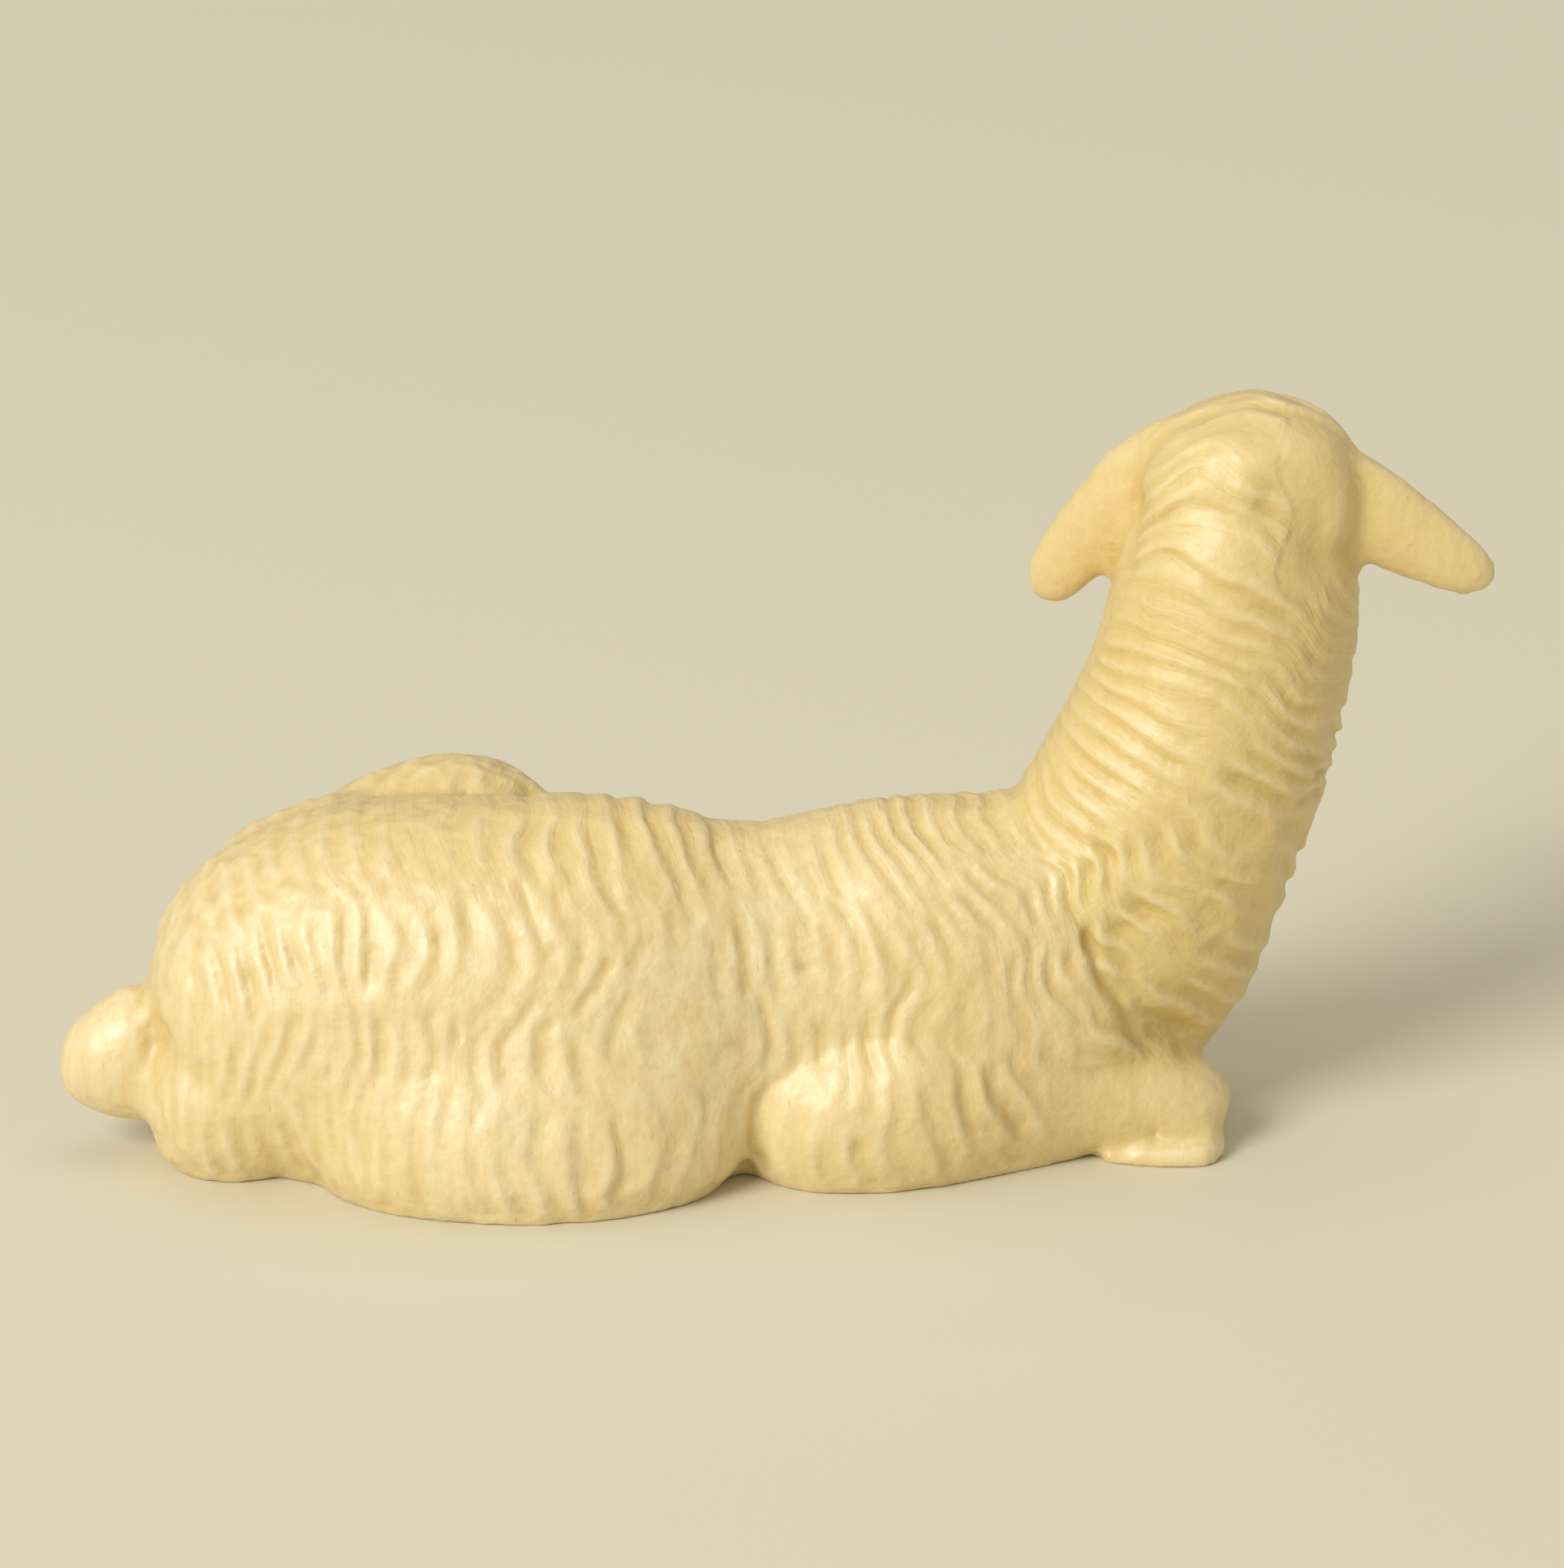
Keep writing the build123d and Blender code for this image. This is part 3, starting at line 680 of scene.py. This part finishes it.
    shape = node(tree, "GeometryNodeSetPosition", {"Geometry": marked, "Offset": offset}).outputs[0]
    whole = node(tree, "GeometryNodeRealizeInstances", {0: shape}).outputs[0]
    coated = node(tree, "GeometryNodeSetMaterial", {"Geometry": whole, "Material": finish}).outputs[0]
    tree.links.new(coated, tree.nodes.new("NodeGroupOutput").inputs[0])


locks_tree = bpy.data.node_groups.new("carved locks", "GeometryNodeTree")
carved_locks(locks_tree, maple)
carver = blank.modifiers.new("carved locks", "NODES")
carver.node_group = locks_tree
for item in locks_tree.interface.items_tree:
    if item.in_out == "INPUT" and item.name in LOCKS:
        carver[item.identifier] = LOCKS[item.name]
blank.data = plain_mesh(blank)

HOLLOW_DEPTH = 0.12
HOLLOW_ROUNDS = 14
edges = edge_ends(blank.data)
places = vertex_places(blank.data)
everywhere = np.ones(len(places))
places = eased(places, edges, 1, everywhere)
places[:, 2] = np.maximum(places[:, 2], 0.0)
place_vertices(blank.data, places)
# This hollow measure sets the painted shade in the hollows and the painted highlight on the crests.
levelled = eased(places, edges, HOLLOW_ROUNDS, everywhere)
hollow = ((levelled - places) * vertex_normals(blank.data)).sum(1) / HOLLOW_DEPTH
keep_values(blank.data, "hollow", np.clip(hollow, -1, 1))

# Sawing: the carved form comes apart again at its glued joints, so that each block is a piece of its own.
# The skin is parted where the solid blocks meet, and each piece is closed with its glued face,
# which is sunk a little so that it stays behind the skin of its neighbour.
NEAR = 4.0
FAR = 100.0
LEAST = 1e-4
SPLIT_MARGIN = 0.04
carved = bmesh.new()
carved.from_mesh(blank.data)
carved.verts.ensure_lookup_table()
distance = np.full((len(BLOCKS), len(places)), FAR)
for row, name in enumerate(BLOCKS):
    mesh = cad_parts[name].data
    mesh.calc_loop_triangles()
    corners = [tuple(v.co / MM) for v in mesh.vertices]
    surface = BVHTree.FromPolygons(corners, [tuple(t.vertices) for t in mesh.loop_triangles])
    low, high = (np.array(corner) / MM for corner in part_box(name))
    for index in np.flatnonzero(((places > low - NEAR) & (places < high + NEAR)).all(1)):
        distance[row, index] = surface.find_nearest(places[index])[3]

fields = []
for row, name in enumerate(BLOCKS):
    field = carved.verts.layers.float.new("beyond_" + name)
    fields.append(field)
    rest = np.delete(distance, row, axis=0).min(0)
    for vert, value in zip(carved.verts, distance[row] - rest):
        vert[field] = value if abs(value) > LEAST else LEAST
for field in fields[1:]:
    crossed = [e for e in carved.edges if (e.verts[0][field] < 0) != (e.verts[1][field] < 0)]
    parted = []
    for edge in crossed:
        start, end = edge.verts
        share = start[field] / (start[field] - end[field])
        share = min(max(share, SPLIT_MARGIN), 1 - SPLIT_MARGIN)
        cut = bmesh.utils.edge_split(edge, start, share)[1]
        cut[field] = 0.0
        parted.append(cut)
    bmesh.ops.connect_verts(carved, verts=parted)
carved.normal_update()
smooth_normal = carved.verts.layers.float_vector.new("smooth_normal")
for vert in carved.verts:
    vert[smooth_normal] = vert.normal
owner = carved.faces.layers.int.new("owner")
for face in carved.faces:
    sums = [sum(v[field] for v in face.verts) for field in fields]
    face[owner] = int(np.argmin(sums))


def islands(faces):
    """Groups of faces that hang together."""
    left = set(faces)
    found = []
    while left:
        stack = [left.pop()]
        group = []
        while stack:
            face = stack.pop()
            group.append(face)
            for edge in face.edges:
                for other in edge.link_faces:
                    if other in left:
                        left.remove(other)
                        stack.append(other)
        found.append(group)
    return sorted(found, key=len, reverse=True)


for row in range(1, len(BLOCKS)):
    for group in islands([f for f in carved.faces if f[owner] == row])[1:]:
        for face in group:
            face[owner] = 0
for group in islands([f for f in carved.faces if f[owner] == 0])[1:]:
    touching = [o[owner] for f in group for e in f.edges for o in e.link_faces if o[owner] != 0]
    for face in group:
        face[owner] = max(set(touching), key=touching.count)

GLUE_SINK = 1.0 * MM
ON_TABLE = 1e-7
FLAT_SOLE = math.radians(1)
FLAT = -1
SPENT = ["beyond_" + name for name in BLOCKS]
SPENT += ["smooth_normal", "owner", "lock_count", "sway", "overlap", "steady", "stipple"]


def rims(edges):
    """The open edges in closed rounds of vertices, in the direction of the faces beside them."""
    follow = {}
    for edge in edges:
        corner = next(c for c in edge.link_faces[0].loops if c.edge == edge)
        follow.setdefault(corner.vert, []).append(corner.link_loop_next.vert)
    found = []
    while follow:
        start = vert = next(iter(follow))
        found.append([])
        while True:
            found[-1].append(vert)
            after = follow[vert].pop()
            if not follow[vert]:
                del follow[vert]
            vert = after
            if vert == start:
                break
    return found


def on_table(piece):
    """The faces of a piece that lie flat on the table."""
    return [f for f in piece.faces if all(v.co.z < ON_TABLE for v in f.verts)]


for row, name in enumerate(BLOCKS):
    piece = carved.copy()
    marks = piece.faces.layers.int["owner"]
    skin_normal = piece.verts.layers.float_vector["smooth_normal"]
    others = [f for f in piece.faces if f[marks] != row]
    bmesh.ops.delete(piece, geom=others, context="FACES")
    glue_faces = []
    for loop in rims([e for e in piece.edges if e.is_boundary]):
        facing = sum((v[skin_normal] for v in loop), Vector())
        middle = sum((v.co for v in loop), Vector()) / len(loop) - GLUE_SINK * facing.normalized()
        hub = piece.verts.new(middle)
        for first, second in zip(loop, loop[1:] + loop[:1]):
            glue_faces.append(piece.faces.new((second, first, hub)))
    # The sole's parts are kept in the mesh's order, so that every run gives it the same triangles.
    flat_faces = dict.fromkeys(on_table(piece))
    flat_edges = dict.fromkeys(
        e for f in flat_faces for e in f.edges if all(o in flat_faces for o in e.link_faces)
    )
    flat_verts = dict.fromkeys(
        v for e in flat_edges for v in e.verts if all(o in flat_edges for o in v.link_edges)
    )
    bmesh.ops.dissolve_limit(piece, angle_limit=FLAT_SOLE, verts=list(flat_verts), edges=list(flat_edges))
    sole = bmesh.ops.triangulate(piece, faces=on_table(piece))["faces"]
    for face in glue_faces + sole:
        face[marks] = FLAT
    mesh = bpy.data.meshes.new(name + "_carved")
    piece.to_mesh(mesh)
    piece.free()
    normals = np.empty(len(mesh.vertices) * 3)
    mesh.attributes["smooth_normal"].data.foreach_get("vector", normals)
    normals = normals.reshape(-1, 3)
    flat = [item.value == FLAT for item in mesh.attributes["owner"].data]
    corner_normals = []
    for polygon in mesh.polygons:
        for corner in polygon.vertices:
            corner_normals.append(polygon.normal if flat[polygon.index] else normals[corner])
    mesh.polygons.foreach_set("use_smooth", np.ones(len(mesh.polygons), bool))
    mesh.normals_split_custom_set([tuple(n) for n in corner_normals])
    for spent in SPENT:
        mesh.attributes.remove(mesh.attributes[spent])
    mesh.materials.append(maple)
    block = bpy.data.objects.new(name + "_carved", mesh)
    scene.collection.objects.link(block)
    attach(block, "root")
    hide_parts(name)
carved.free()
bpy.data.objects.remove(blank)

# Dowels: round beech pins across the glued joints, one to each, hidden in the wood.
# They are glued into blind holes in both blocks and left unwaxed.
beech = bpy.data.materials.new("dowel_beech")
beech.use_nodes = True
tree = beech.node_tree
shader = tree.nodes["Principled BSDF"]
spot = node(tree, "ShaderNodeTexCoord").outputs["Object"]
fibres = node(tree, "ShaderNodeTexNoise", {0: spot, "Scale": 1800, "Detail": 3}).outputs[0]
ramp = node(tree, "ShaderNodeValToRGB", {0: fibres})
ramp.color_ramp.elements[0].color = (0.56, 0.36, 0.20, 1)
ramp.color_ramp.elements[1].color = (0.70, 0.50, 0.32, 1)
tree.links.new(ramp.outputs[0], shader.inputs["Base Color"])
shader.inputs["Roughness"].default_value = 0.7
for name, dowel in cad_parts.items():
    if name.endswith("_dowel"):
        dowel.data.materials.clear()
        dowel.data.materials.append(beech)

# Stage: a plain pale table that runs on out of the picture, with nothing else on it.
# A broad soft light stands at the upper left and a weaker one hangs overhead,
# and a warm, even room light fills the shadows.
FLOOR_HALF = 1500 * MM
floor_mesh = bpy.data.meshes.new("table")
floor_corners = [(u * FLOOR_HALF, v * FLOOR_HALF, 0) for u, v in ((-1, -1), (1, -1), (1, 1), (-1, 1))]
floor_mesh.from_pydata(floor_corners, [], [(0, 1, 2, 3)])
floor = bpy.data.objects.new("table", floor_mesh)
scene.collection.objects.link(floor)
pale = bpy.data.materials.new("pale_table")
pale.use_nodes = True
shader = pale.node_tree.nodes["Principled BSDF"]
shader.inputs["Base Color"].default_value = (0.71, 0.67, 0.52, 1)
shader.inputs["Roughness"].default_value = 0.8
floor_mesh.materials.append(pale)

sky = bpy.data.worlds.new("studio")
scene.world = sky
sky.use_nodes = True
room_light = sky.node_tree.nodes["Background"]
room_light.inputs["Color"].default_value = (1.0, 0.95, 0.83, 1)
room_light.inputs["Strength"].default_value = 0.45


def soft_box(name, place, size, power, colour):
    """A square soft light that points at the sheep."""
    lamp = bpy.data.lights.new(name, "AREA")
    lamp.size = size
    lamp.energy = power
    lamp.color = colour
    stand = bpy.data.objects.new(name, lamp)
    stand.location = place
    stand.rotation_euler = (AIM - Vector(place)).to_track_quat("-Z", "Y").to_euler()
    scene.collection.objects.link(stand)


soft_box("key", (-1.25, -1.45, 1.35), 1.0, 41.0, (1.0, 0.985, 0.96))
soft_box("overhead", (0.2, 0.5, 1.9), 1.6, 6.5, (1.0, 0.985, 0.95))

scene.view_settings.view_transform = "Standard"
